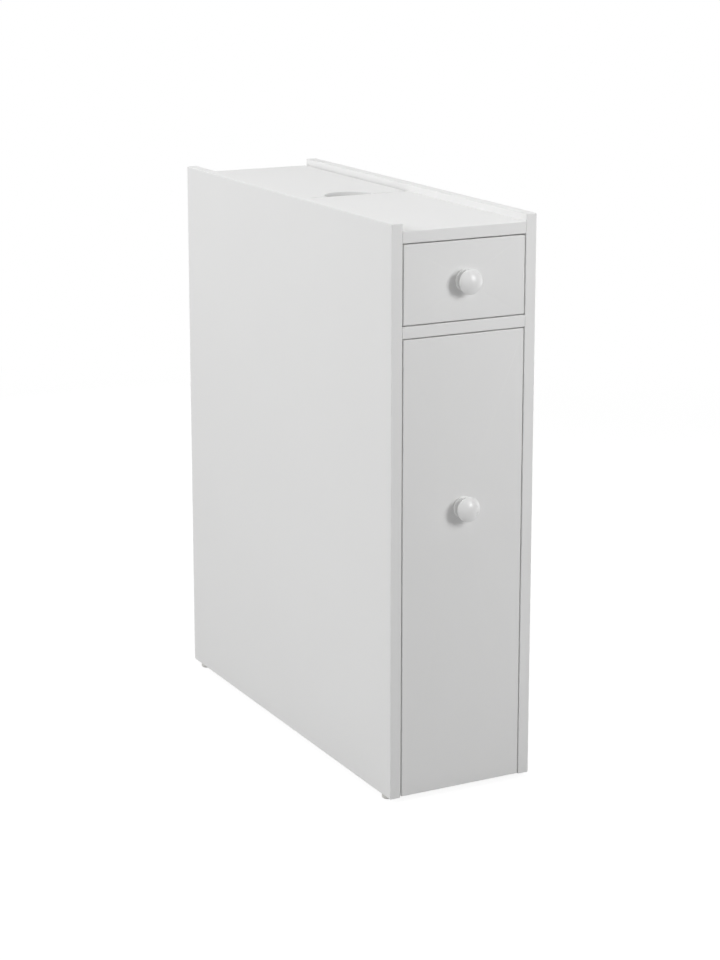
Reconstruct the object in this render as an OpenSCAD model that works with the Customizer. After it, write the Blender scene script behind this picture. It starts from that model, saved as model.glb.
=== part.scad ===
// Slim bathroom side cabinet. A fixed front top and a hinged flap lid lie between two side
// panels. Under the top is a small drawer, under the lid a bin for packs of tissues, and
// below the middle shelf a tall pull-out unit that runs on four castors.
// +X is to the right, -Y to the front and +Z up, in millimetres. The origin is on the floor,
// in the middle of the footprint with the knobs counted in.

/* [Cabinet] */
// Width over both side panels
cabinet_w = 160; // [150:1:220]
// Depth of the side panels
cabinet_d = 480; // [440:1:560]
// Height of the side panels
panel_h = 576; // [530:1:700]
// Thickness of the boards
board_t = 12; // [11:0.5:15]
// How far the side panels stand above the fixed top
panel_rise = 7.5; // [3:0.5:20]
// Chamfer on the exposed edges of the boards
edge_ease = 0.5; // [0.3:0.1:1.5]
// Gap round the drawer front and the pull-out front
reveal = 1; // [0.8:0.1:2]
// Clearance that stops the drawer and the pull-out flush with the side panels
stop_gap = 0.5; // [0.3:0.1:1]
// Thickness of the hardboard back
back_t = 3; // [2.5:0.5:5]
// Distance from the rear edges of the side panels to the back
back_inset = 6.5; // [5:0.5:10]
// Depth of the grooves that hold the back
groove_depth = 5; // [3:0.5:6]
// Height of the rear stretcher
stretcher_h = 60; // [50:1:100]

/* [Top and lid] */
// Depth of the fixed top, from the front
top_d = 240; // [200:1:260]
// Gap between the fixed top and the lid
split_gap = 1.5; // [0.5:0.1:2.5]
// Gap between the lid and each side panel
lid_side_gap = 2.5; // [1.2:0.1:3.5]
// Clearance between the closed lid and the ledge it rests on
lid_seat = 0.3; // [0.2:0.1:0.8]
// Width of the finger notch at the front edge of the lid
notch_w = 53; // [40:1:80]
// Depth of the finger notch
notch_d = 24.5; // [15:0.5:30]
// Distance from the lid's rear edge to its pivot
pivot_inset = 10; // [9:0.5:13]
// Diameter of the pivot pins
pivot_pin_d = 5; // [4:0.5:6]
// Length of a pivot pin inside the lid
pivot_pin_hold = 15; // [10:1:25]
// Outer diameter of the pivot bushes
bush_d = 8; // [7.5:0.5:9]
// Depth of a pivot bush inside its side panel
bush_depth = 7; // [5:0.5:8]
// Clearance between the lid's swing and the top of the back
swing_gap = 1; // [0.5:0.1:3]

/* [Drawer] */
// Height of the bay for the drawer, and of the bin behind it
bay_h = 80; // [72:1:120]
// Thickness of the drawer's sides and back
drawer_t = 9; // [8:0.5:10]
// Height of the drawer's sides
drawer_wall_h = 60; // [40:1:64]
// How far the drawer's sides stand in from the ends of its front
drawer_step = 0.5; // [0.3:0.1:2]
// Clearance under the drawer's sides
slide_gap = 0.3; // [0.2:0.1:0.6]
// Thickness of the drawer's bottom
drawer_bottom_t = 3; // [2.5:0.5:4]
// Height of the drawer's bottom above the lower edges of its sides
drawer_bottom_rise = 6; // [4:0.5:10]
// Depth of the grooves that hold the drawer's bottom
drawer_groove = 4.5; // [3:0.5:5]

/* [Pull-out] */
// Gap between the pull-out unit and each side panel
pullout_gap = 3; // [2:0.5:6]
// How far the divider and the pull-out's back stop below the middle shelf
wall_drop = 22; // [6:1:60]
// Height of the space above the pull-out's shelf
shelf_room = 220; // [200:1:260]
// Clearance at each end and side of the pull-out's shelf
shelf_gap = 0.5; // [0.3:0.1:1.5]
// Diameter of the shelf pins
shelf_pin_d = 5; // [4:0.5:6]
// Spacing of the holes for the shelf pins
shelf_pitch = 32; // [20:1:40]
// Distance of the shelf pins from the middle
shelf_pin_x = 40; // [25:1:48]
// Thickness of the guard rails
rail_t = 6; // [5:0.5:9]
// Height of the guard rails
rail_h = 30; // [20:1:45]
// Height of the guard rails above the board below them
rail_rise = 40; // [25:1:60]
// Depth of the sockets that hold the front ends of the guard rails
rail_socket = 3; // [2:0.5:5]
// Distance of the pull-out's knob below the top of its front
knob_drop = 172.5; // [80:0.5:190]

/* [Knobs] */
// Distance that the knobs stand out from the fronts
knob_reach = 18; // [16:0.5:26]
// Diameter of a knob's head
knob_d = 25; // [22:0.5:30]
// Diameter of a knob's base flange
knob_flange_d = 22; // [16:0.5:24]
// Thickness of a knob's base flange
knob_flange_t = 2.2; // [1.5:0.1:3]
// Diameter of a knob's neck
knob_neck_d = 12; // [10:0.5:15]
// Diameter of the knob screws
knob_screw_d = 4; // [3:0.5:5]
// Length of a knob screw inside its knob
knob_screw_hold = 10; // [7:0.5:13]

/* [Castors and glides] */
// Height of the castors, with their plates
castor_h = 34; // [31:0.5:42]
// Diameter of the castor wheels
wheel_d = 25; // [20:0.5:27]
// Width of the castor wheels
wheel_w = 10; // [8:0.5:14]
// Length of a castor plate
plate_l = 38; // [34:1:44]
// Width of a castor plate
plate_w = 25; // [24:0.5:30]
// Thickness of the castors' sheet steel
plate_t = 1.5; // [1:0.1:2]
// Diameter of the castor axles
axle_d = 5; // [4:0.5:6]
// Distance of the castors from the ends of the pull-out's base
castor_inset = 40; // [34:1:80]
// Height of the glides
glide_h = 4; // [3:0.5:8]
// Diameter of the glides
glide_d = 12; // [9:0.5:12]
// Distance of the front glides from the front
glide_front = 16; // [10:1:40]
// Distance of the rear glides from the rear
glide_rear = 21; // [10:1:40]

/* [Fasteners] */
// Diameter of the cam discs
cam_d = 12; // [10:0.5:15]
// Distance from a board's end to its cam discs
cam_setback = 24; // [20:1:30]
// Diameter of the cam bolts' threads
cam_thread_d = 5; // [4:0.5:6]
// Length of a cam bolt's thread
cam_thread_l = 8; // [6:0.5:9]
// Diameter of the dowels
dowel_d = 6; // [4:0.5:6.5]
// Length of a dowel in the end of a board
dowel_hold = 16; // [12:1:25]
// Length of a dowel in the face of a panel
dowel_depth = 8; // [5:0.5:9]
// Distance from a board's edge to its first fastener
joint_inset = 35; // [25:1:50]
// Distance from a cam bolt to the dowel beside it
joint_step = 28; // [20:1:34]
// Length of the construction screws
long_screw_l = 40; // [30:1:50]
// Diameter of the construction screws
long_screw_d = 4.8; // [4:0.1:5.5]
// Length of the rail and drawer screws
short_screw_l = 22; // [18:1:28]
// Diameter of the rail and drawer screws
short_screw_d = 3; // [2.5:0.1:3.5]

/* [Hidden] */
$fn = 48;

// Colours
paint = [0.90, 0.90, 0.89];
inner_paint = [0.86, 0.86, 0.85];
bare_steel = [0.70, 0.71, 0.72];
beech = [0.80, 0.66, 0.45];
nylon = [0.93, 0.93, 0.90];
dark_plastic = [0.24, 0.24, 0.25];
hardboard = [0.83, 0.83, 0.81];

// Fits
fit = 0.05;
cut = 0.5;
end_gap = 0.5;
skin = 2;
touch = 0.3;

// The carcass
inner_x = cabinet_w / 2 - board_t;
front_y = (knob_reach - cabinet_d) / 2;
rear_y = front_y + cabinet_d;
panel_z = glide_h;
panel_top_z = panel_z + panel_h;
top_z = panel_top_z - panel_rise;
top_under_z = top_z - board_t;
shelf_top_z = top_under_z - bay_h;
shelf_under_z = shelf_top_z - board_t;
split_y = front_y + top_d;
back_y = rear_y - back_inset - back_t;
stretcher_y = back_y - board_t;
partition_y = split_y - board_t / 2;
partition_shares = [1 / 4, 3 / 4];
stretcher_cam_share = 1 / 3;
stretcher_dowel_share = 3 / 4;

// The lid turns on pins at its rear, and its rear edge is an arc about them
lid_x = inner_x - lid_side_gap;
lid_y = split_y + split_gap;
lid_z = top_under_z + lid_seat;
pivot_y = rear_y - pivot_inset;
pivot_z = lid_z + board_t / 2;
back_top_z = pivot_z - pivot_inset - swing_gap;
notch_r = (pow(notch_w / 2, 2) + pow(notch_d, 2)) / (2 * notch_d);
bush_flange_d = board_t - 2;
bush_flange_t = lid_side_gap - touch;
bush_end_t = 1;

// The drawer
front_x = inner_x - reveal;
front_back_y = front_y + board_t;
drawer_z = shelf_top_z + reveal;
drawer_top_z = top_under_z - reveal;
drawer_x = front_x - drawer_step;
drawer_wall_z = shelf_top_z + slide_gap;
drawer_wall_top_z = drawer_wall_z + drawer_wall_h;
drawer_floor_z = drawer_wall_z + drawer_bottom_rise;
drawer_end_y = partition_y - stop_gap;
drawer_knob_z = (drawer_z + drawer_top_z) / 2;
drawer_dowel_r = 2.5;
drawer_dowel_shares = [0.3, 0.8];
drawer_screw_shares = [0.35, 0.8];

// The pull-out unit
pullout_z = panel_z + reveal;
pullout_top_z = shelf_under_z - reveal;
pullout_x = inner_x - pullout_gap;
wall_x = pullout_x - rail_t;
base_z = castor_h;
base_top_z = base_z + board_t;
wall_top_z = shelf_under_z - wall_drop;
pullout_end_y = stretcher_y - stop_gap;
pullout_back_y = pullout_end_y - board_t;
divider_y = (front_back_y + pullout_back_y - board_t) / 2;
tray_z = shelf_under_z - shelf_room - board_t;
lower_rail_z = base_top_z + rail_rise;
upper_rail_z = tray_z + board_t + rail_rise;
pullout_knob_z = pullout_top_z - knob_drop;
pullout_cam_x = 22;
pullout_dowel_x = 45;
pullout_screw_x = 34;
pin_depth = 8;

// The castors
castor_side = 2;
castor_x = pullout_x - plate_w / 2 - castor_side;
castor_front_y = front_back_y + castor_inset;
castor_rear_y = pullout_back_y - castor_inset;
axle_z = wheel_d / 2;
fork_gap = 0.3;
fork_x = wheel_w / 2 + fork_gap;
hub_wall = 2.2;
hub_r = axle_d / 2 + hub_wall;
ear_wall = 3;
ear_r = axle_d / 2 + ear_wall;
ear_foot = 8;
plate_corner = 3;
plate_hole_side = 3.5;
plate_hole_end = 5;
plate_hole_x = plate_w / 2 - plate_hole_side;
plate_hole_y = plate_l / 2 - plate_hole_end;
rivet_lip = 1.2;
rivet_h = 1;
tread_r = 2;
rim_t = 3;
web_share = 1 / 3;
rib_t = 1.4;
rib_share = 0.76;
rib_count = 5;
weld = 1;

// A knob's profile: the rounded rim of its head touches the dome from inside
knob_neck_l = 5;
knob_rim_r = 1.9;
knob_dome_r = 16.6;
knob_cup_r_share = 0.63;
knob_cup_y_share = 0.47;

// Cams
cam_neck_r = cam_thread_d / 2 - 0.8;
cam_head_end = 1;
cam_head_l = 3;
cam_slot_half = 0.6;
cam_slot_depth = 1.5;

// Screw heads
slot_half = 0.4;
slot_depth = 1;
screw_head_h = 2.2;
knob_screw_head_r = knob_screw_d / 2 + 2;
long_head_r = long_screw_d / 2 + 1.2;
short_head_r = short_screw_d / 2 + 1.3;
castor_screw_r = 1.5;
castor_screw_l = 9;
castor_head_r = 2.8;
castor_head_h = 1.6;
castor_head_slope = 1;
nail_r = 1.25;
nail_l = 10;
nail_head_r = 2.6;
nail_head_h = 1;

// A rectangle with its four corners cut off
module eased_rectangle(lo, hi, ease = edge_ease) {
    polygon([
        [lo[0] + ease, lo[1]], [hi[0] - ease, lo[1]], [hi[0], lo[1] + ease],
        [hi[0], hi[1] - ease], [hi[0] - ease, hi[1]], [lo[0] + ease, hi[1]],
        [lo[0], hi[1] - ease], [lo[0], lo[1] + ease]
    ]);
}

module block(lo, hi) {
    translate(lo) cube(hi - lo);
}

// A board that runs between two panels: only its edges along X are eased
module rail_board(lo, hi) {
    translate([lo[0], 0, 0]) rotate([90, 0, 90]) linear_extrude(hi[0] - lo[0])
        eased_rectangle([lo[1], lo[2]], [hi[1], hi[2]]);
}

// A board whose edges along Z are eased
module upright_board(lo, hi) {
    translate([0, 0, lo[2]]) linear_extrude(hi[2] - lo[2])
        eased_rectangle([lo[0], lo[1]], [hi[0], hi[1]]);
}

// A board that runs along Y: only its edges along Y are eased
module strip_board(lo, hi) {
    translate([0, hi[1], 0]) rotate([90, 0, 0]) linear_extrude(hi[1] - lo[1])
        eased_rectangle([lo[0], lo[2]], [hi[0], hi[2]]);
}

// A board with all its edges eased
module eased_board(lo, hi) {
    intersection() {
        rail_board(lo, hi);
        upright_board(lo, hi);
        strip_board(lo, hi);
    }
}

// A cylinder along X from x0 to x1
module rod_x(r, x0, x1) {
    translate([x0, 0, 0]) rotate([0, 90, 0]) cylinder(r = r, h = x1 - x0);
}

module left_too() {
    children();
    mirror([1, 0, 0]) children();
}

// Cam joint, dowel and screw. The joint face is at x = 0, the board whose end meets it lies
// at -X and the panel it is held to lies at +X. A cam disc opens downwards.
module cam_bolt() {
    color(bare_steel) {
        rod_x(cam_thread_d / 2, 0, cam_thread_l);
        rod_x(cam_neck_r, cam_head_end + cam_head_l - cam_setback, 0);
        rod_x(cam_thread_d / 2, cam_head_end - cam_setback,
              cam_head_end + cam_head_l - cam_setback);
    }
}

module cam_disc() {
    color(bare_steel) difference() {
        translate([-cam_setback, 0, touch - board_t / 2])
            cylinder(r = cam_d / 2, h = board_t - skin - 2 * touch);
        block([-cam_setback - weld, -cam_thread_d / 2 - cut, -cam_thread_d / 2 - cut],
              [0, cam_thread_d / 2 + cut, cam_thread_d / 2 + cut]);
        for (turn = [0, 90]) translate([-cam_setback, 0, -board_t / 2]) rotate(turn)
            block([-cam_d / 4, -cam_slot_half, 0], [cam_d / 4, cam_slot_half, cam_slot_depth]);
    }
}

module cam_pocket() {
    translate([-cam_setback, 0, -board_t / 2 - cut])
        cylinder(r = cam_d / 2 + 2 * fit, h = board_t - skin + cut);
    rod_x(cam_thread_d / 2 + cut, -cam_setback, cut);
}

module cam_bore() {
    rod_x(cam_thread_d / 2 + fit, -cut, cam_thread_l + end_gap);
}

module dowel() {
    color(beech) rod_x(dowel_d / 2, -dowel_hold, dowel_depth);
}

module dowel_bore() {
    rod_x(dowel_d / 2 + fit, -dowel_hold - end_gap, dowel_depth + end_gap);
}

// A countersunk screw along -X with its head flush at x = 0
module countersunk_screw(r, head_r, length) {
    color(bare_steel) difference() {
        union() {
            rod_x(r, -length, 0);
            translate([-(head_r - r), 0, 0]) rotate([0, 90, 0])
                cylinder(r1 = r, r2 = head_r, h = head_r - r);
        }
        for (turn = [0, 90]) rotate([turn, 0, 0])
            block([-slot_depth, -r, -slot_half], [cut, r, slot_half]);
    }
}

module countersunk_bore(r, head_r, length) {
    rod_x(r + fit, -length - end_gap, cut);
    translate([-(head_r - r) - fit, 0, 0]) rotate([0, 90, 0])
        cylinder(r1 = r + fit, r2 = head_r + fit, h = head_r - r);
    rod_x(head_r + fit, -fit, cut);
}

module long_screw() {
    countersunk_screw(long_screw_d / 2, long_head_r, long_screw_l);
}

module long_bore() {
    countersunk_bore(long_screw_d / 2, long_head_r, long_screw_l);
}

module short_screw() {
    countersunk_screw(short_screw_d / 2, short_head_r, short_screw_l);
}

module short_bore() {
    countersunk_bore(short_screw_d / 2, short_head_r, short_screw_l);
}

// Places of the carcass fasteners at the right side panel
module top_cam_sites() {
    for (y = [front_y + joint_inset, split_y - joint_inset])
        translate([inner_x, y, top_under_z + board_t / 2]) children();
}

module top_dowel_sites() {
    for (y = [front_y + joint_inset + joint_step, split_y - joint_inset - joint_step])
        translate([inner_x, y, top_under_z + board_t / 2]) children();
}

module shelf_cam_sites() {
    for (y = [front_y + joint_inset, back_y - joint_inset])
        translate([inner_x, y, shelf_under_z + board_t / 2]) children();
}

module shelf_dowel_sites() {
    for (y = [front_y + joint_inset + joint_step, back_y - joint_inset - joint_step])
        translate([inner_x, y, shelf_under_z + board_t / 2]) children();
}

module stretcher_cam_site() {
    translate([inner_x, stretcher_y + board_t / 2, panel_z + stretcher_h * stretcher_cam_share])
        rotate([-90, 0, 0]) children();
}

module stretcher_dowel_site() {
    translate([inner_x, stretcher_y + board_t / 2, panel_z + stretcher_h * stretcher_dowel_share])
        children();
}

module partition_dowel_sites() {
    for (share = partition_shares)
        translate([inner_x, split_y, shelf_top_z + bay_h * share]) children();
}

module carcass_cam_sites() {
    top_cam_sites() children();
    shelf_cam_sites() children();
    stretcher_cam_site() children();
}

module carcass_dowel_sites() {
    top_dowel_sites() children();
    shelf_dowel_sites() children();
    stretcher_dowel_site() children();
    partition_dowel_sites() children();
}

module glide_sites() {
    for (y = [front_y + glide_front, rear_y - glide_rear])
        translate([inner_x + board_t / 2, y, 0]) children();
}

// The side panel at +X, with the groove for the back and the bores for the fasteners
module side_panel() {
    color(paint) difference() {
        eased_board([inner_x, front_y, panel_z], [inner_x + board_t, rear_y, panel_top_z]);
        block([inner_x - cut, back_y - fit, panel_z - cut],
              [inner_x + groove_depth + fit, back_y + back_t + fit, back_top_z + end_gap]);
        carcass_cam_sites() cam_bore();
        carcass_dowel_sites() dowel_bore();
        translate([0, pivot_y, pivot_z])
            rod_x(bush_d / 2 + fit, inner_x - cut, inner_x + bush_depth + fit);
        glide_sites() cylinder(r = nail_r + fit, h = glide_h + nail_l + end_gap);
    }
}

module side_panel_right() {
    side_panel();
}

module side_panel_left() {
    mirror([1, 0, 0]) side_panel();
}

module top_panel() {
    color(paint) difference() {
        rail_board([-inner_x, front_y, top_under_z], [inner_x, split_y, top_z]);
        left_too() {
            top_cam_sites() cam_pocket();
            top_dowel_sites() dowel_bore();
        }
    }
}

module middle_shelf() {
    color(paint) difference() {
        rail_board([-inner_x, front_y, shelf_under_z], [inner_x, back_y, shelf_top_z]);
        left_too() {
            shelf_cam_sites() cam_pocket();
            shelf_dowel_sites() dowel_bore();
        }
    }
}

// Stands half under the fixed top, and the other half is the ledge under the lid
module partition() {
    color(inner_paint) difference() {
        rail_board([-inner_x, partition_y, shelf_top_z],
                   [inner_x, partition_y + board_t, top_under_z]);
        left_too() partition_dowel_sites() dowel_bore();
    }
}

module back_panel() {
    color(hardboard) block([-inner_x - groove_depth, back_y, panel_z],
                           [inner_x + groove_depth, back_y + back_t, back_top_z]);
}

module rear_stretcher() {
    color(inner_paint) difference() {
        rail_board([-inner_x, stretcher_y, panel_z],
                   [inner_x, back_y, panel_z + stretcher_h]);
        left_too() {
            stretcher_cam_site() cam_pocket();
            stretcher_dowel_site() dowel_bore();
        }
    }
}

module carcass_cam_bolts() {
    left_too() carcass_cam_sites() cam_bolt();
}

module carcass_cam_discs() {
    left_too() carcass_cam_sites() cam_disc();
}

module carcass_dowels() {
    left_too() carcass_dowel_sites() dowel();
}

// A round nylon glide with a rounded foot and a sunk nail
module glides() {
    foot_r = glide_h / 3;
    color(nylon) left_too() glide_sites() rotate_extrude() difference() {
        union() {
            translate([0, foot_r]) square([glide_d / 2, glide_h - foot_r]);
            square([glide_d / 2 - foot_r, glide_h]);
            translate([glide_d / 2 - foot_r, foot_r]) circle(r = foot_r);
        }
        translate([0, -cut]) square([nail_r + fit, glide_h + 2 * cut]);
        translate([0, -cut]) square([nail_head_r + fit, nail_head_h + 2 * cut]);
    }
}

module glide_nails() {
    color(bare_steel) left_too() glide_sites() translate([0, 0, cut]) {
        cylinder(r = nail_head_r, h = nail_head_h);
        cylinder(r = nail_r, h = glide_h - cut + nail_l);
    }
}

// Flanged bushes for the lid's pins, one in each side panel
module pivot_bushes() {
    color(nylon) left_too() translate([0, pivot_y, pivot_z]) difference() {
        union() {
            rod_x(bush_d / 2, inner_x, inner_x + bush_depth);
            rod_x(bush_flange_d / 2, inner_x - bush_flange_t, inner_x);
        }
        rod_x(pivot_pin_d / 2 + fit, inner_x - bush_flange_t - cut,
              inner_x + bush_depth - bush_end_t);
    }
}

// The lid's section: a slab whose rear end is an arc about the pivot
module lid_section() {
    intersection() {
        eased_rectangle([lid_y, lid_z], [rear_y + cut, lid_z + board_t]);
        union() {
            translate([lid_y, lid_z]) square([pivot_y - lid_y, board_t]);
            translate([pivot_y, pivot_z]) circle(r = pivot_inset, $fn = 96);
        }
    }
}

module lid() {
    notch_y = lid_y + notch_d - notch_r;
    color(paint) difference() {
        intersection() {
            translate([-lid_x, 0, 0]) rotate([90, 0, 90]) linear_extrude(2 * lid_x)
                lid_section();
            upright_board([-lid_x, lid_y, lid_z - cut],
                          [lid_x, rear_y + cut + edge_ease, lid_z + board_t + cut]);
        }
        translate([0, notch_y, lid_z - cut])
            cylinder(r = notch_r, h = board_t + 2 * cut, $fn = 96);
        translate([0, notch_y, lid_z + board_t - edge_ease])
            cylinder(r1 = notch_r, r2 = notch_r + 2 * edge_ease, h = 2 * edge_ease, $fn = 96);
        translate([0, notch_y, lid_z - edge_ease])
            cylinder(r1 = notch_r + 2 * edge_ease, r2 = notch_r, h = 2 * edge_ease, $fn = 96);
        left_too() translate([0, pivot_y, pivot_z])
            rod_x(pivot_pin_d / 2 + fit, lid_x - pivot_pin_hold - end_gap, lid_x + cut);
    }
}

module lid_pins() {
    color(bare_steel) left_too() translate([0, pivot_y, pivot_z])
        rod_x(pivot_pin_d / 2, lid_x - pivot_pin_hold, inner_x + bush_depth - bush_end_t - end_gap);
}

// A turned knob on its axis: flange, neck, cup, rounded rim and low dome
module knob_profile() {
    neck_r = knob_neck_d / 2;
    foot_r = knob_flange_t / 2;
    dome_y = knob_reach - knob_dome_r;
    rim_x = knob_d / 2 - knob_rim_r;
    rim_y = dome_y + sqrt(pow(knob_dome_r - knob_rim_r, 2) - pow(rim_x, 2));
    cup_h = rim_y - knob_rim_r - knob_neck_l;
    union() {
        square([knob_flange_d / 2 - foot_r, knob_flange_t]);
        translate([knob_flange_d / 2 - foot_r, foot_r]) circle(r = foot_r);
        square([neck_r, rim_y]);
        polygon([
            [0, knob_neck_l], [neck_r, knob_neck_l],
            [neck_r + (rim_x - neck_r) * knob_cup_r_share, knob_neck_l + cup_h * knob_cup_y_share],
            [rim_x, rim_y - knob_rim_r], [rim_x, rim_y], [0, rim_y]
        ]);
        translate([rim_x, rim_y]) circle(r = knob_rim_r);
        intersection() {
            translate([0, dome_y]) circle(r = knob_dome_r, $fn = 96);
            polygon([
                [0, rim_y - knob_rim_r], [rim_x, rim_y - knob_rim_r / 2], [rim_x, rim_y],
                [2 * rim_x, 2 * rim_y - dome_y], [0, knob_reach + knob_rim_r]
            ]);
        }
    }
}

module knob(z) {
    color(paint) translate([0, front_y, z]) rotate([90, 0, 0]) difference() {
        rotate_extrude($fn = 96) knob_profile();
        translate([0, 0, -cut])
            cylinder(r = knob_screw_d / 2 + fit, h = knob_screw_hold + end_gap + cut);
    }
}

module knob_screw(z) {
    color(bare_steel) translate([0, front_back_y, z]) rotate([90, 0, 0]) difference() {
        union() {
            translate([0, 0, -screw_head_h]) cylinder(r = knob_screw_head_r, h = screw_head_h);
            cylinder(r = knob_screw_d / 2, h = board_t + knob_screw_hold);
        }
        for (turn = [0, 90]) rotate(turn) block(
            [-knob_screw_d / 2, -slot_half, -screw_head_h - cut],
            [knob_screw_d / 2, slot_half, slot_depth - screw_head_h]);
    }
}

module knob_bore(z) {
    translate([0, front_back_y + cut, z]) rotate([90, 0, 0])
        cylinder(r = knob_screw_d / 2 + 4 * fit, h = board_t + 2 * cut);
}

// Places of the dowels between the drawer's front and its right side, and of the screws
// between that side and the drawer's back
module drawer_dowel_sites() {
    for (share = drawer_dowel_shares)
        translate([drawer_x - drawer_t / 2, front_back_y, drawer_wall_z + drawer_wall_h * share])
            rotate([0, 0, -90]) children();
}

module drawer_screw_sites() {
    for (share = drawer_screw_shares)
        translate([drawer_x, drawer_end_y - drawer_t / 2, drawer_wall_z + drawer_wall_h * share])
            children();
}

module drawer_dowel() {
    color(beech) rod_x(drawer_dowel_r, -dowel_hold, dowel_depth);
}

module drawer_dowel_bore() {
    rod_x(drawer_dowel_r + fit, -dowel_hold - end_gap, dowel_depth + end_gap);
}

module drawer_floor_groove() {
    block([-drawer_x + drawer_t - drawer_groove - fit, front_back_y - drawer_groove - fit,
           drawer_floor_z - fit],
          [drawer_x - drawer_t + drawer_groove + fit, drawer_end_y + cut,
           drawer_floor_z + drawer_bottom_t + fit]);
}

module drawer_front() {
    color(paint) difference() {
        eased_board([-front_x, front_y, drawer_z], [front_x, front_back_y, drawer_top_z]);
        drawer_floor_groove();
        left_too() drawer_dowel_sites() drawer_dowel_bore();
        knob_bore(drawer_knob_z);
    }
}

module drawer_side() {
    color(inner_paint) difference() {
        strip_board([drawer_x - drawer_t, front_back_y, drawer_wall_z],
                    [drawer_x, drawer_end_y, drawer_wall_top_z]);
        drawer_floor_groove();
        drawer_dowel_sites() drawer_dowel_bore();
        drawer_screw_sites() short_bore();
    }
}

module drawer_side_right() {
    drawer_side();
}

module drawer_side_left() {
    mirror([1, 0, 0]) drawer_side();
}

// Stands on the bottom, which slides in below it
module drawer_back() {
    color(inner_paint) difference() {
        rail_board([drawer_t - drawer_x, drawer_end_y - drawer_t,
                    drawer_floor_z + drawer_bottom_t + fit],
                   [drawer_x - drawer_t, drawer_end_y, drawer_wall_top_z]);
        left_too() drawer_screw_sites() short_bore();
    }
}

module drawer_bottom() {
    color(hardboard) block(
        [-drawer_x + drawer_t - drawer_groove, front_back_y - drawer_groove, drawer_floor_z],
        [drawer_x - drawer_t + drawer_groove, drawer_end_y, drawer_floor_z + drawer_bottom_t]);
}

module drawer_dowels() {
    left_too() drawer_dowel_sites() drawer_dowel();
}

module drawer_screws() {
    left_too() drawer_screw_sites() short_screw();
}

module drawer_knob() {
    knob(drawer_knob_z);
}

module drawer_knob_screw() {
    knob_screw(drawer_knob_z);
}

// Places of the pull-out's fasteners
module pullout_cam_sites() {
    for (x = [-pullout_cam_x, pullout_cam_x])
        translate([x, front_back_y, base_z + board_t / 2]) rotate([0, 0, -90]) children();
}

module pullout_dowel_sites() {
    for (x = [-pullout_dowel_x, pullout_dowel_x])
        translate([x, front_back_y, base_z + board_t / 2]) rotate([0, 0, -90]) children();
}

module back_screw_sites() {
    for (x = [-pullout_screw_x, pullout_screw_x])
        translate([x, pullout_end_y, base_z + board_t / 2]) rotate([0, 0, 90]) children();
}

module divider_screw_sites() {
    for (x = [-pullout_screw_x, pullout_screw_x])
        translate([x, divider_y + board_t / 2, base_z]) rotate([0, 90, 0]) children();
}

// Holes for the shelf pins, in the front and in the divider, one row on each side
module pin_hole_sites() {
    for (x = [-shelf_pin_x, shelf_pin_x])
        for (step = [-1, 0, 1])
            translate([x, 0, tray_z - shelf_pin_d / 2 + step * shelf_pitch]) children();
}

module pin_holes(face_y, depth) {
    pin_hole_sites() translate([0, face_y, 0]) rotate([90, 0, 0])
        translate([0, 0, depth > 0 ? -cut : depth - end_gap])
            cylinder(r = shelf_pin_d / 2 + fit, h = abs(depth) + end_gap + cut);
}

module guard_rail_box(z, gap = 0) {
    block([wall_x - gap, front_back_y - rail_socket - gap, z - gap],
          [pullout_x + gap, front_back_y + cut, z + rail_h + gap]);
}

// Places of the rail screws in the right rail at height z
module rail_screw_sites(z) {
    for (y = [divider_y + board_t / 2, pullout_back_y + board_t / 2])
        translate([pullout_x, y, z + rail_h / 2]) children();
}

module both_rail_screw_sites() {
    rail_screw_sites(lower_rail_z) children();
    rail_screw_sites(upper_rail_z) children();
}

module pullout_front() {
    color(paint) difference() {
        eased_board([-front_x, front_y, pullout_z], [front_x, front_back_y, pullout_top_z]);
        pullout_cam_sites() cam_bore();
        pullout_dowel_sites() dowel_bore();
        pin_holes(front_back_y, pin_depth);
        left_too() {
            guard_rail_box(lower_rail_z, fit);
            guard_rail_box(upper_rail_z, fit);
        }
        knob_bore(pullout_knob_z);
    }
}

module pullout_base() {
    color(inner_paint) difference() {
        strip_board([-pullout_x, front_back_y, base_z], [pullout_x, pullout_back_y, base_top_z]);
        pullout_cam_sites() cam_pocket();
        pullout_dowel_sites() dowel_bore();
        back_screw_sites() long_bore();
        divider_screw_sites() long_bore();
        castor_screw_sites() castor_screw_bore();
    }
}

module pullout_divider() {
    color(inner_paint) difference() {
        upright_board([-wall_x, divider_y, base_top_z], [wall_x, divider_y + board_t, wall_top_z]);
        pin_holes(divider_y, -pin_depth);
        divider_screw_sites() long_bore();
        left_too() both_rail_screw_sites() short_bore();
    }
}

module pullout_back() {
    color(inner_paint) difference() {
        upright_board([-wall_x, pullout_back_y, base_z], [wall_x, pullout_end_y, wall_top_z]);
        back_screw_sites() long_bore();
        left_too() both_rail_screw_sites() short_bore();
    }
}

module pullout_shelf() {
    color(inner_paint) strip_board(
        [-wall_x + shelf_gap, front_back_y + shelf_gap, tray_z],
        [wall_x - shelf_gap, divider_y - shelf_gap, tray_z + board_t]);
}

module shelf_pins() {
    color(bare_steel) for (x = [-shelf_pin_x, shelf_pin_x])
        for (ends = [[front_back_y - pin_depth, front_back_y + pin_depth],
                     [divider_y - pin_depth, divider_y + pin_depth]])
            translate([x, ends[1], tray_z - shelf_pin_d / 2]) rotate([90, 0, 0])
                cylinder(r = shelf_pin_d / 2, h = ends[1] - ends[0]);
}

module guard_rail(z) {
    color(inner_paint) difference() {
        strip_board([wall_x, front_back_y - rail_socket, z],
                    [pullout_x, pullout_end_y, z + rail_h]);
        rail_screw_sites(z) short_bore();
    }
}

module guard_rail_lower_right() {
    guard_rail(lower_rail_z);
}

module guard_rail_lower_left() {
    mirror([1, 0, 0]) guard_rail(lower_rail_z);
}

module guard_rail_upper_right() {
    guard_rail(upper_rail_z);
}

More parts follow.
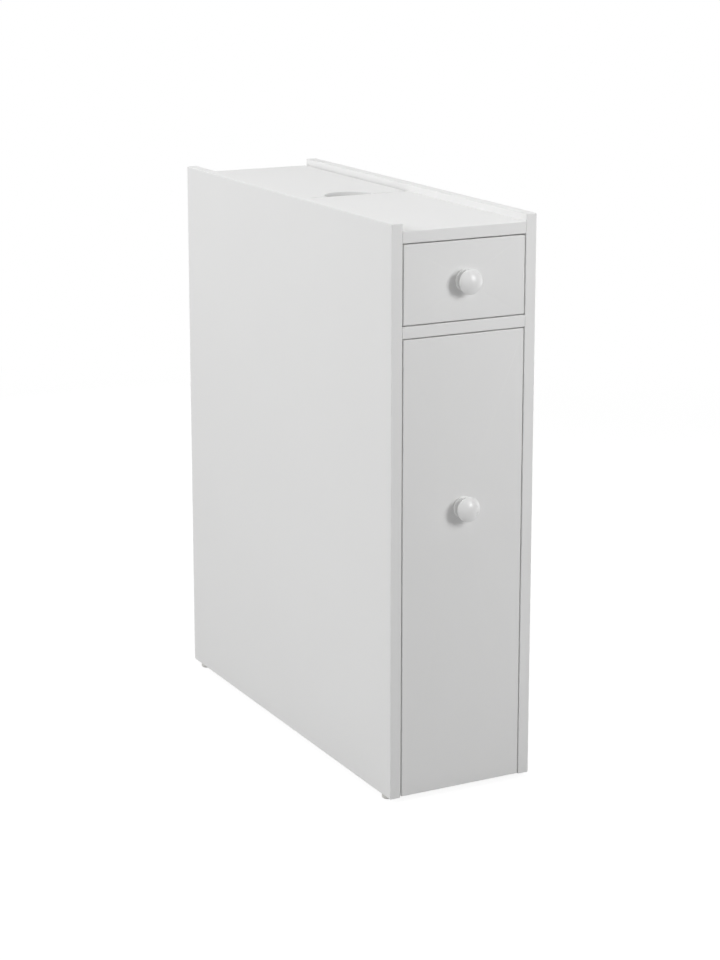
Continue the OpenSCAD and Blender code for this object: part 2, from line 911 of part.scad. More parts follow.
module guard_rail_upper_left() {
    mirror([1, 0, 0]) guard_rail(upper_rail_z);
}

module guard_rail_screws() {
    left_too() both_rail_screw_sites() short_screw();
}

module pullout_cam_bolts() {
    pullout_cam_sites() cam_bolt();
}

module pullout_cam_discs() {
    pullout_cam_sites() cam_disc();
}

module pullout_dowels() {
    pullout_dowel_sites() dowel();
}

module pullout_screws() {
    back_screw_sites() long_screw();
    divider_screw_sites() long_screw();
}

module pullout_knob() {
    knob(pullout_knob_z);
}

module pullout_knob_screw() {
    knob_screw(pullout_knob_z);
}

// A fixed castor on its own axis: the floor is at z = 0
module castor_bracket() {
    plate_z = castor_h - plate_t;
    color(bare_steel) difference() {
        union() {
            translate([0, 0, plate_z]) linear_extrude(plate_t)
                eased_rectangle([-plate_w / 2, -plate_l / 2], [plate_w / 2, plate_l / 2],
                                 plate_corner);
            for (x = [-fork_x - plate_t, fork_x])
                translate([x, 0, 0]) rotate([90, 0, 90]) linear_extrude(plate_t) union() {
                    translate([0, axle_z]) circle(r = ear_r);
                    polygon([
                        [-ear_r, axle_z], [ear_r, axle_z],
                        [plate_l / 2 - ear_foot, plate_z + plate_t / 2],
                        [ear_foot - plate_l / 2, plate_z + plate_t / 2]
                    ]);
                }
        }
        for (x = [-plate_hole_x, plate_hole_x]) for (y = [-plate_hole_y, plate_hole_y])
            translate([x, y, plate_z - cut])
                cylinder(r = castor_screw_r + 2 * fit, h = plate_t + 2 * cut);
        translate([0, 0, axle_z])
            rod_x(axle_d / 2 + fit, -fork_x - plate_t - cut, fork_x + plate_t + cut);
    }
}

// A riveted axle with a head on each end
module castor_axle() {
    head_x = fork_x + plate_t;
    color(bare_steel) translate([0, 0, axle_z]) {
        rod_x(axle_d / 2, -head_x, head_x);
        rod_x(axle_d / 2 + rivet_lip, head_x + fit, head_x + fit + rivet_h);
        rod_x(axle_d / 2, head_x, head_x + fit);
        rod_x(axle_d / 2 + rivet_lip, -head_x - fit - rivet_h, -head_x - fit);
        rod_x(axle_d / 2, -head_x - fit, -head_x);
    }
}

// A moulded wheel: rim with a rounded tread, thin web with ribs, and hub
module castor_wheel() {
    wheel_r = wheel_d / 2;
    rim_r = wheel_r - rim_t;
    color(dark_plastic) translate([0, 0, axle_z]) rotate([0, 90, 0]) difference() {
        union() {
            rotate_extrude($fn = 96) union() {
                translate([0, -wheel_w / 2]) square([hub_r, wheel_w]);
                translate([0, -wheel_w * web_share / 2])
                    square([rim_r + weld, wheel_w * web_share]);
                translate([rim_r, -wheel_w / 2]) square([wheel_r - tread_r - rim_r, wheel_w]);
                translate([rim_r, tread_r - wheel_w / 2])
                    square([wheel_r - rim_r, wheel_w - 2 * tread_r]);
                for (y = [tread_r - wheel_w / 2, wheel_w / 2 - tread_r])
                    translate([wheel_r - tread_r, y]) circle(r = tread_r);
            }
            for (rib = [0:rib_count - 1]) rotate(rib * 360 / rib_count)
                block([hub_r - weld, -rib_t / 2, -wheel_w * rib_share / 2],
                      [rim_r + weld, rib_t / 2, wheel_w * rib_share / 2]);
        }
        translate([0, 0, -wheel_w]) cylinder(r = axle_d / 2 + fit, h = 2 * wheel_w);
    }
}

module castor_site(side, y) {
    translate([side * castor_x, y, 0]) children();
}

module castor_sites() {
    for (side = [-1, 1]) for (y = [castor_front_y, castor_rear_y])
        castor_site(side, y) children();
}

module castor_screw_sites() {
    castor_sites() for (x = [-plate_hole_x, plate_hole_x])
        for (y = [-plate_hole_y, plate_hole_y])
            translate([x, y, castor_h]) children();
}

module castor_screw_bore() {
    translate([0, 0, -cut]) cylinder(r = castor_screw_r + fit, h = castor_screw_l + end_gap + cut);
}

module castor_bracket_front_left() {
    castor_site(-1, castor_front_y) castor_bracket();
}

module castor_bracket_front_right() {
    castor_site(1, castor_front_y) castor_bracket();
}

module castor_bracket_rear_left() {
    castor_site(-1, castor_rear_y) castor_bracket();
}

module castor_bracket_rear_right() {
    castor_site(1, castor_rear_y) castor_bracket();
}

module castor_axles() {
    castor_sites() castor_axle();
}

module castor_screws() {
    color(bare_steel) castor_screw_sites() difference() {
        union() {
            translate([0, 0, -plate_t - castor_head_h])
                cylinder(r1 = castor_head_r - castor_head_slope, r2 = castor_head_r,
                         h = castor_head_h);
            translate([0, 0, -plate_t])
                cylinder(r = castor_screw_r, h = plate_t + castor_screw_l);
        }
        for (turn = [0, 90]) translate([0, 0, -plate_t - castor_head_h]) rotate(turn)
            block([-castor_screw_r, -slot_half, -cut],
                  [castor_screw_r, slot_half, slot_depth]);
    }
}

module castor_wheel_front_left() {
    castor_site(-1, castor_front_y) castor_wheel();
}

module castor_wheel_front_right() {
    castor_site(1, castor_front_y) castor_wheel();
}

module castor_wheel_rear_left() {
    castor_site(-1, castor_rear_y) castor_wheel();
}

module castor_wheel_rear_right() {
    castor_site(1, castor_rear_y) castor_wheel();
}

side_panel_left();
side_panel_right();
top_panel();
middle_shelf();
partition();
back_panel();
rear_stretcher();
glides();
glide_nails();
carcass_cam_bolts();
carcass_cam_discs();
carcass_dowels();
pivot_bushes();
lid();
lid_pins();
drawer_front();
drawer_side_left();
drawer_side_right();
drawer_back();
drawer_bottom();
drawer_dowels();
drawer_screws();
drawer_knob();
drawer_knob_screw();
pullout_front();
pullout_base();
pullout_divider();
pullout_back();
pullout_shelf();
shelf_pins();
guard_rail_lower_left();
guard_rail_lower_right();
guard_rail_upper_left();
guard_rail_upper_right();
guard_rail_screws();
pullout_cam_bolts();
pullout_cam_discs();
pullout_dowels();
pullout_screws();
pullout_knob();
pullout_knob_screw();
castor_bracket_front_left();
castor_bracket_front_right();
castor_bracket_rear_left();
castor_bracket_rear_right();
castor_axles();
castor_screws();
castor_wheel_front_left();
castor_wheel_front_right();
castor_wheel_rear_left();
castor_wheel_rear_right();
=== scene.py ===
"""Looks of a slim bathroom side cabinet: satin white boards, turned knobs, a flap lid with a
finger notch, a small drawer and a tall pull-out unit on castors.

Lengths are metres in the frame's own axes: +X right, -Y front, +Z up.
"""

import logging
import math
from abc import ABC, abstractmethod
from contextlib import contextmanager
from dataclasses import dataclass
from enum import Enum
from typing import Callable, Iterator, Sequence

import bmesh
import bpy
from mathutils import Matrix, Vector


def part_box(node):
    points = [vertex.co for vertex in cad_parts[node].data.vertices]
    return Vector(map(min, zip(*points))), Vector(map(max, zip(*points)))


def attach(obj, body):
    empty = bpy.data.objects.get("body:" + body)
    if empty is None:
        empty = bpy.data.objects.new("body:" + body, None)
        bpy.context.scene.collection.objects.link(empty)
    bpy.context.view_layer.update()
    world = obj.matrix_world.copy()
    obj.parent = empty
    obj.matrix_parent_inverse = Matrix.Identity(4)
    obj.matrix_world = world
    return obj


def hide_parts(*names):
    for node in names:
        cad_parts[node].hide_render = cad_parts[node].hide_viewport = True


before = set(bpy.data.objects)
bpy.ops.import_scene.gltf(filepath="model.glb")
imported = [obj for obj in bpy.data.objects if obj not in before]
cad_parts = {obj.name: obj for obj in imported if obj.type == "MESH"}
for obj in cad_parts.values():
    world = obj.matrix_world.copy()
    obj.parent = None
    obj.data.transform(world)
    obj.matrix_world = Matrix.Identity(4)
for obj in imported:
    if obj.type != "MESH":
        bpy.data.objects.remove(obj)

log = logging.getLogger("bathroom_cabinet")

MM = 0.001
FULL_TURN = 2 * math.pi
MERGE_GAP = 1e-6
PARALLEL = 0.999
FLAT_FACE_WEIGHT = 100

# Shader values: a noise's middle, the limit of a mask, and the sockets of a colour Mix
NOISE_MIDDLE = 0.5
MASK_LIMIT = 0.5
MIX_FACTOR, MIX_FIRST, MIX_SECOND, MIX_RESULT = 0, 6, 7, 2

Colour = tuple[float, float, float]
Point2 = tuple[float, float]
Point3 = tuple[float, float, float]

WHITE: Colour = (1.0, 1.0, 1.0)


class Axis(Enum):
    """Direction along which a board's edges run."""

    X = 0
    Y = 1
    Z = 2


ALL_EDGES = (Axis.X, Axis.Y, Axis.Z)


class Slot(Enum):
    """Material slots of the record, by what they are."""

    PAINTED_BOARD = "painted_board"
    INNER_BOARD = "inner_board"
    HARDBOARD = "hardboard"
    KNOB_PAINT = "knob_paint"
    STEEL = "steel"
    BEECH = "beech"
    NYLON = "nylon"
    WHEEL_PLASTIC = "wheel_plastic"


class Keep(Enum):
    """What is kept of two solids: the rest of the first one, both, or where they overlap."""

    REST = "DIFFERENCE"
    BOTH = "UNION"
    OVERLAP = "INTERSECT"


# Shader graphs

@dataclass(frozen=True)
class Signal:
    """A value on a shader socket, or nothing after an output node.

    Arithmetic on it adds Math nodes.
    """

    graph: "FinishGraph"
    socket: bpy.types.NodeSocket | None

    def _math(self, operation: str, left: "Signal | float", right: "Signal | float") -> "Signal":
        """Result of a Math node on two operands."""
        return self.graph.node("ShaderNodeMath", {"operation": operation}, {0: left, 1: right})

    def __add__(self, other: "Signal | float") -> "Signal":
        """Sum."""
        return self._math("ADD", self, other)

    __radd__ = __add__

    def __sub__(self, other: "Signal | float") -> "Signal":
        """Difference."""
        return self._math("SUBTRACT", self, other)

    def __rsub__(self, other: float) -> "Signal":
        """Difference from a number."""
        return self._math("SUBTRACT", other, self)

    def __mul__(self, other: "Signal | float") -> "Signal":
        """Product."""
        return self._math("MULTIPLY", self, other)

    __rmul__ = __mul__

    def mask(self) -> "Signal":
        """1 where the value is over the limit of a mask and 0 elsewhere."""
        return self._math("GREATER_THAN", self, MASK_LIMIT)

    def sine(self) -> "Signal":
        """Sine of the value."""
        return self._math("SINE", self, 0.0)


class FinishGraph:
    """The node tree of one material or world."""

    def __init__(self, owner: bpy.types.Material | bpy.types.World) -> None:
        """Empties the owner's tree.

        Args:
            owner: The material or world whose nodes are built.
        """
        owner.use_nodes = True
        self.tree = owner.node_tree
        self.tree.nodes.clear()

    def node(self, kind: str, settings: dict | None = None, sockets: dict | None = None,
             output: int | str = 0) -> Signal:
        """Adds a node, sets it up and connects it.

        Args:
            kind: The node's type.
            settings: Values of the node's own properties.
            sockets: Values or signals of its inputs, by name or index.
            output: Which of its outputs is returned.

        Returns:
            The chosen output.
        """
        made = self.tree.nodes.new(kind)
        for name, value in (settings or {}).items():
            setattr(made, name, value)
        for key, value in (sockets or {}).items():
            if isinstance(value, Signal):
                self.tree.links.new(value.socket, made.inputs[key])
            else:
                made.inputs[key].default_value = value
        return Signal(self, made.outputs[output] if made.outputs else None)

    def place(self) -> Signal:
        """Object coordinates."""
        return self.node("ShaderNodeTexCoord", output="Object")

    def parts(self, vector: Signal) -> tuple[Signal, ...]:
        """X, Y and Z of a vector."""
        split = self.node("ShaderNodeSeparateXYZ", {}, {0: vector}).socket.node
        return tuple(Signal(self, part) for part in split.outputs)

    def noise(self, feature: float, detail: float = 2.0, squeeze: Point3 = (1, 1, 1)) -> Signal:
        """Cloudy noise from 0 to 1 in object space.

        Args:
            feature: Size of its features, in metres.
            detail: Octaves.
            squeeze: Factors on the coordinates along X, Y and Z.

        Returns:
            The noise value.
        """
        scaled = self.node("ShaderNodeMapping", {"vector_type": "POINT"},
                           {"Vector": self.place(), "Scale": squeeze})
        return self.node("ShaderNodeTexNoise", {"noise_dimensions": "3D"},
                         {"Vector": scaled, "Scale": 1 / feature, "Detail": detail}, "Fac")

    def tint(self, amount: Signal, dark: Colour, light: Colour) -> Signal:
        """Colour between two shades.

        Args:
            amount: 0 for the dark shade and 1 for the light one.
            dark: Linear colour at 0.
            light: Linear colour at 1.

        Returns:
            The mixed colour.
        """
        return self.node("ShaderNodeMix", {"data_type": "RGBA"},
                         {MIX_FACTOR: amount, MIX_FIRST: (*dark, 1.0), MIX_SECOND: (*light, 1.0)},
                         MIX_RESULT)

    @staticmethod
    def sway(middle: float, spread: float, noise: Signal) -> Signal:
        """The middle value, moved by noise up to half the spread to either side."""
        return middle + spread * (noise - NOISE_MIDDLE)

    def bump(self, height: Signal, depth: float) -> Signal:
        """Normal that follows a height from 0 to 1, where 1 stands for the depth."""
        return self.node("ShaderNodeBump", {}, {"Height": height, "Distance": depth})

    def surface(self, sockets: dict) -> None:
        """Ends the tree with a Principled shader that has these inputs."""
        shader = self.node("ShaderNodeBsdfPrincipled", {}, sockets)
        self.node("ShaderNodeOutputMaterial", {}, {"Surface": shader})


def shade(colour: Colour, factor: float) -> Colour:
    """Multiplies a linear colour.

    Args:
        colour: The colour.
        factor: What it is multiplied by.

    Returns:
        The new colour.
    """
    return tuple(channel * factor for channel in colour)


# Finishes

@dataclass(frozen=True)
class Finish(ABC):
    """A finish of the cabinet's pieces, which makes one material."""

    name: str

    def material(self) -> bpy.types.Material:
        """Builds the material.

        Returns:
            The material.
        """
        made = bpy.data.materials.new(self.name)
        self.paint(FinishGraph(made))
        return made

    @abstractmethod
    def paint(self, graph: FinishGraph) -> None:
        """Adds the finish's nodes to its material's graph."""


@dataclass(frozen=True)
class SatinPaint(Finish):
    """Sprayed white lacquer on board, with a fine orange peel."""

    colour: Colour = (0.835, 0.835, 0.831)
    roughness: float = 0.54
    peel_size: float = 1.6 * MM
    peel_depth: float = 0.012 * MM
    peel_octaves: float = 1.0
    cloud_size: float = 110 * MM
    cloud_octaves: float = 3.0
    cloud_share: float = 0.012
    sheen_size: float = 27.5 * MM
    sheen_spread: float = 0.08
    ior: float = 1.47

    def paint(self, graph: FinishGraph) -> None:
        """Adds the finish's nodes.

        Args:
            graph: Its material's graph.
        """
        cloud = graph.noise(self.cloud_size, self.cloud_octaves)
        peel = graph.noise(self.peel_size, self.peel_octaves)
        sheen = graph.noise(self.sheen_size)
        graph.surface({
            "Base Color": graph.tint(cloud, shade(self.colour, 1 - self.cloud_share),
                                     shade(self.colour, 1 + self.cloud_share)),
            "Roughness": graph.sway(self.roughness, self.sheen_spread, sheen),
            "Normal": graph.bump(peel, self.peel_depth),
            "IOR": self.ior,
        })


@dataclass(frozen=True)
class KnobEnamel(Finish):
    """Glossier white enamel on turned wood."""

    colour: Colour = (0.845, 0.845, 0.841)
    dark_share: float = 0.985
    roughness: float = 0.285
    sheen_spread: float = 0.06
    cloud_size: float = 10.5 * MM
    ripple_size: float = 3.5 * MM
    ripple_octaves: float = 1.0
    ripple_depth: float = 0.02 * MM
    ior: float = 1.5

    def paint(self, graph: FinishGraph) -> None:
        """Adds the finish's nodes.

        Args:
            graph: Its material's graph.
        """
        cloud = graph.noise(self.cloud_size)
        ripple = graph.noise(self.ripple_size, self.ripple_octaves)
        graph.surface({
            "Base Color": graph.tint(cloud, shade(self.colour, self.dark_share), self.colour),
            "Roughness": graph.sway(self.roughness, self.sheen_spread, cloud),
            "Normal": graph.bump(ripple, self.ripple_depth),
            "IOR": self.ior,
        })


@dataclass(frozen=True)
class ScreenedHardboard(Finish):
    """White hardboard: smooth in front, with the wire screen's print on the side towards +Y
    and on the underside."""

    colour: Colour = (0.80, 0.795, 0.78)
    dark_share: float = 0.955
    cloud_size: float = 9 * MM
    fibre_size: float = 0.9 * MM
    octaves: float = 4.0
    roughness: float = 0.52
    fibre_spread: float = 0.16
    pitch: float = 1.8 * MM
    print_depth: float = 0.12 * MM
    print_share: float = 0.5
    fibre_share: float = 0.25

    def paint(self, graph: FinishGraph) -> None:
        """Adds the finish's nodes.

        Args:
            graph: Its material's graph.
        """
        turn = FULL_TURN / self.pitch
        across, along, up = ((part * turn).sine() for part in graph.parts(graph.place()))
        normal = graph.node("ShaderNodeNewGeometry", output="Normal")
        _, faces_rear, faces_up = graph.parts(normal)
        under = 0.0 - faces_up
        screen = faces_rear.mask() * across * up + under.mask() * across * along
        fibre = graph.noise(self.fibre_size, self.octaves)
        height = screen * self.print_share + fibre * self.fibre_share
        graph.surface({
            "Base Color": graph.tint(graph.noise(self.cloud_size, self.octaves),
                                     shade(self.colour, self.dark_share), self.colour),
            "Roughness": graph.sway(self.roughness, self.fibre_spread, fibre),
            "Normal": graph.bump(height, self.print_depth),
        })


@dataclass(frozen=True)
class ZincSteel(Finish):
    """Bright zinc plating with a faint cloudy sheen."""

    colour: Colour = (0.66, 0.67, 0.68)
    dark_share: float = 0.86
    roughness: float = 0.3
    sheen_spread: float = 0.2
    cloud_size: float = 2.2 * MM
    cloud_octaves: float = 4.0
    grain_size: float = 0.5 * MM
    grain_depth: float = 0.004 * MM

    def paint(self, graph: FinishGraph) -> None:
        """Adds the finish's nodes.

        Args:
            graph: Its material's graph.
        """
        cloud = graph.noise(self.cloud_size, self.cloud_octaves)
        graph.surface({
            "Base Color": graph.tint(cloud, shade(self.colour, self.dark_share), self.colour),
            "Roughness": graph.sway(self.roughness, self.sheen_spread, cloud),
            "Metallic": 1.0,
            "Normal": graph.bump(graph.noise(self.grain_size), self.grain_depth),
        })


@dataclass(frozen=True)
class BeechWood(Finish):
    """Fluted beech of the dowels: fine fleck along the grain."""

    dark: Colour = (0.43, 0.27, 0.145)
    light: Colour = (0.62, 0.44, 0.27)
    roughness: float = 0.55
    sheen_spread: float = 0.2
    fleck_size: float = 0.7 * MM
    fleck_octaves: float = 5.0
    fleck_squeeze: Point3 = (0.25, 0.25, 1.0)
    fleck_depth: float = 0.05 * MM

    def paint(self, graph: FinishGraph) -> None:
        """Adds the finish's nodes.

        Args:
            graph: Its material's graph.
        """
        fleck = graph.noise(self.fleck_size, self.fleck_octaves, self.fleck_squeeze)
        graph.surface({
            "Base Color": graph.tint(fleck, self.dark, self.light),
            "Roughness": graph.sway(self.roughness, self.sheen_spread, fleck),
            "Normal": graph.bump(fleck, self.fleck_depth),
        })


@dataclass(frozen=True)
class MouldedPlastic(Finish):
    """Moulded plastic with a fine spark-eroded texture."""

    colour: Colour
    roughness: float
    dark_share: float = 0.94
    light_share: float = 1.04
    sheen_spread: float = 0.1
    cloud_size: float = 6 * MM
    cloud_octaves: float = 3.0
    grain_size: float = 0.35 * MM
    grain_depth: float = 0.012 * MM

    def paint(self, graph: FinishGraph) -> None:
        """Adds the finish's nodes.

        Args:
            graph: Its material's graph.
        """
        cloud = graph.noise(self.cloud_size, self.cloud_octaves)
        graph.surface({
            "Base Color": graph.tint(cloud, shade(self.colour, self.dark_share),
                                     shade(self.colour, self.light_share)),
            "Roughness": graph.sway(self.roughness, self.sheen_spread, cloud),
            "Normal": graph.bump(graph.noise(self.grain_size), self.grain_depth),
        })


@dataclass(frozen=True)
class Finishes:
    """The cabinet's materials, one for each slot of the record."""

    by_slot: dict[Slot, bpy.types.Material]

    @classmethod
    def mixed(cls) -> "Finishes":
        """Builds every material once.

        Returns:
            The set of them.
        """
        return cls({
            Slot.PAINTED_BOARD: SatinPaint("satin_white_lacquer").material(),
            Slot.INNER_BOARD: SatinPaint(
                "matt_white_lacquer", colour=(0.81, 0.81, 0.805), roughness=0.6,
                peel_size=2.2 * MM, peel_depth=0.02 * MM).material(),
            Slot.HARDBOARD: ScreenedHardboard("white_hardboard").material(),
            Slot.KNOB_PAINT: KnobEnamel("knob_enamel").material(),
            Slot.STEEL: ZincSteel("zinc_plated_steel").material(),
            Slot.BEECH: BeechWood("beech_dowel").material(),
            Slot.NYLON: MouldedPlastic(
                "white_nylon", colour=(0.74, 0.735, 0.71), roughness=0.4).material(),
            Slot.WHEEL_PLASTIC: MouldedPlastic(
                "black_wheel_plastic", colour=(0.045, 0.046, 0.048), roughness=0.46).material(),
        })

    def apply(self, thing: bpy.types.Object, slot: Slot) -> None:
        """Gives a piece the material of a slot, in place of any that it has."""
        thing.data.materials.clear()
        thing.data.materials.append(self.by_slot[slot])


# Modelling steps

def select_only(thing: bpy.types.Object) -> None:
    """Makes one object the selected and active one.

    Args:
        thing: The object.
    """
    bpy.ops.object.select_all(action="DESELECT")
    thing.select_set(True)
    bpy.context.view_layer.objects.active = thing


@contextmanager
def edit_mode(thing: bpy.types.Object) -> Iterator[bmesh.types.BMesh]:
    """Opens a mesh for editing, with nothing in it selected.

    Args:
        thing: The object to edit.

    Yields:
        Its edit mesh, for choosing faces and edges.
    """
    select_only(thing)
    bpy.ops.object.mode_set(mode="EDIT")
    bpy.ops.mesh.select_mode(type="VERT")
    bpy.ops.mesh.select_all(action="DESELECT")
    yield bmesh.from_edit_mesh(thing.data)
    bpy.ops.object.mode_set(mode="OBJECT")


def select_edges(thing: bpy.types.Object, mesh: bmesh.types.BMesh,
                 wanted: Callable[[bmesh.types.BMEdge], bool]) -> None:
    """Selects edges by a test.

    Args:
        thing: The object in edit mode.
        mesh: Its edit mesh.
        wanted: The test.
    """
    bpy.ops.mesh.select_mode(type="EDGE")
    for edge in mesh.edges:
        edge.select_set(wanted(edge))
    bmesh.update_edit_mesh(thing.data)


def apply_modifier(thing: bpy.types.Object, kind: str, **settings: object) -> None:
    """Adds a modifier and applies it.

    Args:
        thing: The object.
        kind: The modifier's type.
        **settings: Its properties.
    """
    select_only(thing)
    modifier = thing.modifiers.new(kind.lower(), kind)
    for name, value in settings.items():
        setattr(modifier, name, value)
    bpy.ops.object.modifier_apply(modifier=modifier.name)


def add_block(name: str, lo: Vector, hi: Vector) -> bpy.types.Object:
    """Adds a cuboid between two corners.

    Args:
        name: Its name.
        lo: Lowest corner.
        hi: Highest corner.

    Returns:
        The block, with its place in its mesh.
    """
    bpy.ops.object.select_all(action="DESELECT")
    bpy.ops.mesh.primitive_cube_add(size=1, location=(lo + hi) / 2, scale=hi - lo)
    block = bpy.context.active_object
    bpy.ops.object.transform_apply(location=True, rotation=True, scale=True)
    block.name = block.data.name = name
    return block


def round_edges(thing: bpy.types.Object, radius: float, along: Sequence[Axis],
                segments: int = 4) -> None:
    """Rounds the edges that run along the given axes.

    Args:
        thing: The object.
        radius: Radius of the rounding.
        along: The axes.
        segments: Facets across the rounding.
    """
    def runs_along(edge: bmesh.types.BMEdge) -> bool:
        """Whether an edge runs along one of the axes."""
        way = (edge.verts[1].co - edge.verts[0].co).normalized()
        return any(abs(way[axis.value]) > PARALLEL for axis in along)

    with edit_mode(thing) as mesh:
        select_edges(thing, mesh, runs_along)
        bpy.ops.mesh.bevel(offset=radius, offset_type="OFFSET", segments=segments,
                           affect="EDGES", clamp_overlap=True)


def own_copy(thing: bpy.types.Object, name: str) -> bpy.types.Object:
    """Copies a mesh into a new object at the origin.

    Args:
        thing: The object whose mesh is copied.
        name: The copy's name.

    Returns:
        The copy.
    """
    copy = bpy.data.objects.new(name, thing.data.copy())
    copy.data.name = name
    bpy.context.scene.collection.objects.link(copy)
    return copy


def merged_copy(node: str) -> bpy.types.Object:
    """Copies a node of the frame with its triangles joined.

    Args:
        node: The node's name.

    Returns:
        The closed copy.
    """
    copy = own_copy(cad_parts[node], f"{node}_copy")
    with edit_mode(copy):
        bpy.ops.mesh.select_all(action="SELECT")
        bpy.ops.mesh.remove_doubles(threshold=MERGE_GAP)
    return copy


def combine(thing: bpy.types.Object, tool: bpy.types.Object, keep: Keep) -> None:
    """Combines two closed meshes into the first and removes the second.

    Args:
        thing: The mesh that stays.
        tool: The other mesh.
        keep: What is kept of them.
    """
    apply_modifier(thing, "BOOLEAN", object=tool, operation=keep.value, solver="EXACT")
    bpy.data.objects.remove(tool)


def smooth(thing: bpy.types.Object, angle_deg: float = 35.0) -> None:
    """Smooths the roundings and keeps flat faces flat.

    Args:
        thing: The piece.
        angle_deg: Edges sharper than this stay sharp.
    """
    select_only(thing)
    bpy.ops.object.shade_smooth_by_angle(angle=math.radians(angle_deg))
    apply_modifier(thing, "WEIGHTED_NORMAL", keep_sharp=True, weight=FLAT_FACE_WEIGHT)


def turn_profile(name: str, profile: Sequence[Point2], steps: int = 96) -> bpy.types.Object:
    """Turns a profile about the Z axis, as on a lathe.

    Args:
        name: The new object's name.
        profile: Radius and height of each point, in order.
        steps: Facets round the axis.

    Returns:
        The turned solid, with its axis on Z.
    """
    bpy.ops.object.select_all(action="DESELECT")
    bpy.ops.mesh.primitive_plane_add(size=MM)
    turned = bpy.context.active_object
    turned.name = turned.data.name = name
    with edit_mode(turned):
        # The plane shrinks to the profile's first point, from which the others are drawn
        bpy.ops.mesh.select_all(action="SELECT")
        bpy.ops.mesh.merge(type="CENTER")
        bpy.ops.transform.translate(value=(profile[0][0], 0, profile[0][1]))
        for (from_r, from_z), (to_r, to_z) in zip(profile, profile[1:]):
            bpy.ops.mesh.extrude_region_move(
                TRANSFORM_OT_translate={"value": (to_r - from_r, 0, to_z - from_z)})
        bpy.ops.mesh.select_all(action="SELECT")
        bpy.ops.mesh.spin(steps=steps, angle=FULL_TURN, center=(0, 0, 0), axis=(0, 0, 1))
        bpy.ops.mesh.select_all(action="SELECT")
        bpy.ops.mesh.remove_doubles(threshold=MERGE_GAP)
        bpy.ops.mesh.normals_make_consistent(inside=False)
    return turned


def arc(centre: Point2, radius: float, start_deg: float, end_deg: float,
        count: int) -> list[Point2]:
    """Points along an arc of a profile.

    Args:
        centre: Its centre.
        radius: Its radius.
        start_deg: Angle of the first point.
        end_deg: Angle of the last point.
        count: How many points.

    Returns:
        The points.
    """
    sweep = [start_deg + (end_deg - start_deg) * i / (count - 1) for i in range(count)]
    return [(centre[0] + radius * math.cos(math.radians(a)),
             centre[1] + radius * math.sin(math.radians(a))) for a in sweep]


def place_mesh(thing: bpy.types.Object, matrix: Matrix) -> None:
    """Moves a piece by changing its mesh, so that its object stays at the origin.

    Args:
        thing: The piece.
        matrix: Where it goes.
    """
    thing.matrix_world = matrix
    select_only(thing)
    bpy.ops.object.transform_apply(location=True, rotation=True, scale=True)


@dataclass
class Fitter:
    """Puts finished pieces on their bodies and reports them."""

    finishes: Finishes
    count: int = 0

    def fit(self, piece: bpy.types.Object, body: str, slot: Slot, *nodes: str) -> None:
        """Dresses a new piece and lets it stand for its nodes.

        Args:
            piece: The new piece.
            body: The body it rides on.
            slot: The record's slot of its finish.
            *nodes: The nodes it stands for.
        """
        self.finishes.apply(piece, slot)
        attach(piece, body)
        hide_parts(*nodes)
        self.count += 1
        log.info("%s rides on %s, %d faces", piece.name, body, len(piece.data.polygons))

    def dress(self, slot: Slot, *nodes: str) -> None:
        """Gives carried-over nodes their finish.

        Args:
            slot: The record's slot.
            *nodes: The nodes.
        """
        for node in nodes:
            self.finishes.apply(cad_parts[node], slot)
            log.info("%s keeps its mesh, in %s", node, slot.value)


@dataclass(frozen=True)
class Board:
    """A lacquered board with rounded edges. Its bores and grooves come from its node."""

    node: str
    rounded: tuple[Axis, ...] = ALL_EDGES
    edge_radius: float = 0.9 * MM

    def build(self) -> bpy.types.Object:
        """Models the board.

        Returns:
            The board.
        """
        board = add_block(f"{self.node}_board", *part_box(self.node))
        round_edges(board, self.edge_radius, self.rounded)
        combine(board, merged_copy(self.node), Keep.OVERLAP)
        smooth(board)
        return board


# Sub-assemblies

@dataclass
class Carcass:
    """Side panels, fixed top, middle shelf, partition, stretcher, back and glides."""

    body: str = "carcass"

    def build(self, fitter: Fitter) -> None:
        """Builds and dresses the carcass.

        Args:
            fitter: Takes the pieces.
        """
        for node in ("side_panel_left", "side_panel_right"):
            fitter.fit(Board(node).build(), self.body, Slot.PAINTED_BOARD, node)
        for node in ("top_panel", "middle_shelf"):
            fitter.fit(Board(node, (Axis.X,)).build(), self.body, Slot.PAINTED_BOARD, node)
        for node in ("partition", "rear_stretcher"):
            fitter.fit(Board(node, (Axis.X,)).build(), self.body, Slot.INNER_BOARD, node)
        fitter.dress(Slot.HARDBOARD, "back_panel")
        fitter.dress(Slot.NYLON, "glides", "pivot_bushes")
        fitter.dress(Slot.STEEL, "glide_nails", "carcass_cam_bolts", "carcass_cam_discs")
        fitter.dress(Slot.BEECH, "carcass_dowels")


